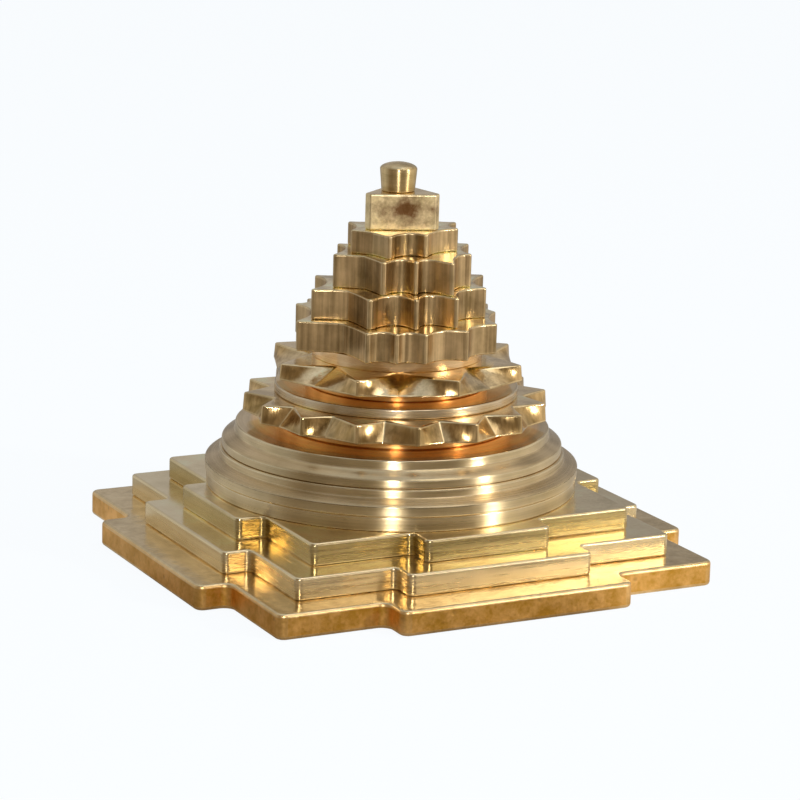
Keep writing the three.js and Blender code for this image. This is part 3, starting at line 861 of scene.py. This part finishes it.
def floor_material():
    """Pale for the camera, lit by the room in the metal, and plain paper for the light."""
    material = bpy.data.materials.new("pale_floor")
    n = Nodes(material)
    path = n.add("LightPath").outputs
    where = n.add("VectorMath", {0: n.add("TexCoord").outputs["Object"]}, operation="NORMALIZE")
    room = room_light(n, where.outputs[0])
    plain = n.add("BsdfDiffuse", {"Color": PAPER}).outputs[0]
    lit = n.add("Emission", {"Color": room, "Strength": 1.0}).outputs[0]
    pale = n.add("Emission", {"Color": BACKGROUND, "Strength": FLOOR_GLOW}).outputs[0]
    mirrored = n.math("MAXIMUM", path["Is Glossy Ray"], path["Is Transmission Ray"])
    share = n.math("MULTIPLY", mirrored, FLOOR_MIRRORED)
    shader = n.add("MixShader", {0: share, 1: plain, 2: lit}).outputs[0]
    share = n.math("MULTIPLY", path["Is Camera Ray"], FLOOR_SEEN)
    shader = n.add("MixShader", {0: share, 1: shader, 2: pale}).outputs[0]
    n.add("OutputMaterial", {"Surface": shader})
    return material


def add_floor():
    r = FLOOR_REACH
    mesh = bpy.data.meshes.new("floor")
    mesh.from_pydata([(-r, -r, 0), (r, -r, 0), (r, r, 0), (-r, r, 0)], [], [(0, 1, 2, 3)])
    mesh.materials.append(floor_material())
    floor = bpy.data.objects.new("floor", mesh)
    bpy.context.scene.collection.objects.link(floor)


def add_world():
    """Pale for the camera, the room for the light."""
    world = bpy.data.worlds.new("studio")
    bpy.context.scene.world = world
    n = Nodes(world)
    where = n.add("TexCoord").outputs["Generated"]
    overhead = towards(n, where, (0, 0, 1), ROOM_TOP_RIM, ROOM_TOP_CORE)
    room = n.mix(overhead, room_light(n, where), (*ROOM_TOP, 1))
    color = n.mix(n.add("LightPath").outputs["Is Camera Ray"], room, BACKGROUND)
    shader = n.add("Background", {"Color": color, "Strength": 1.0}).outputs[0]
    n.add("OutputWorld", {"Surface": shader})


def add_camera():
    yaw, pitch, roll = (math.radians(a) for a in (CAMERA_YAW, CAMERA_PITCH, CAMERA_ROLL))
    forward = Vector((-math.sin(yaw) * math.cos(pitch), math.cos(yaw) * math.cos(pitch),
                      -math.sin(pitch)))
    right = Vector((math.cos(yaw), math.sin(yaw), 0))
    down = forward.cross(right)
    right, down = (math.cos(roll) * right + math.sin(roll) * down,
                   -math.sin(roll) * right + math.cos(roll) * down)
    camera = bpy.data.objects.new("camera", bpy.data.cameras.new("camera"))
    bpy.context.scene.collection.objects.link(camera)
    turn = Matrix((right, -down, -forward)).transposed()
    camera.matrix_world = Matrix.Translation(CAMERA_PLACE * MM) @ turn.to_4x4()
    camera.data.lens = CAMERA_LENS
    camera.data.sensor_width = CAMERA_FRAME
    camera.data.clip_start = CAMERA_NEAR
    bpy.context.scene.camera = camera


def add_lamp(name, azimuth, elevation, distance, size, power, color):
    """Area lamp that looks at the object."""
    back = seen_from_camera(azimuth, elevation)
    lamp = bpy.data.lights.new(name, "AREA")
    lamp.shape = "RECTANGLE"
    lamp.size, lamp.size_y = size
    lamp.energy = power
    lamp.color = color
    holder = bpy.data.objects.new(name, lamp)
    holder.location = TARGET * MM + back * distance
    holder.rotation_mode = "QUATERNION"
    holder.rotation_quaternion = back.to_track_quat("Z", "Y")
    bpy.context.scene.collection.objects.link(holder)


add_gate_plates()
add_plain_step()
add_cove_steps()
add_rings()
add_petal_plates()
add_stars()
add_triangle_block()
add_bindu_knob()
dress_fasteners()

add_floor()
add_world()
add_camera()
for lamp_values in LAMPS:
    add_lamp(*lamp_values)

bpy.context.scene.view_settings.view_transform = "Standard"
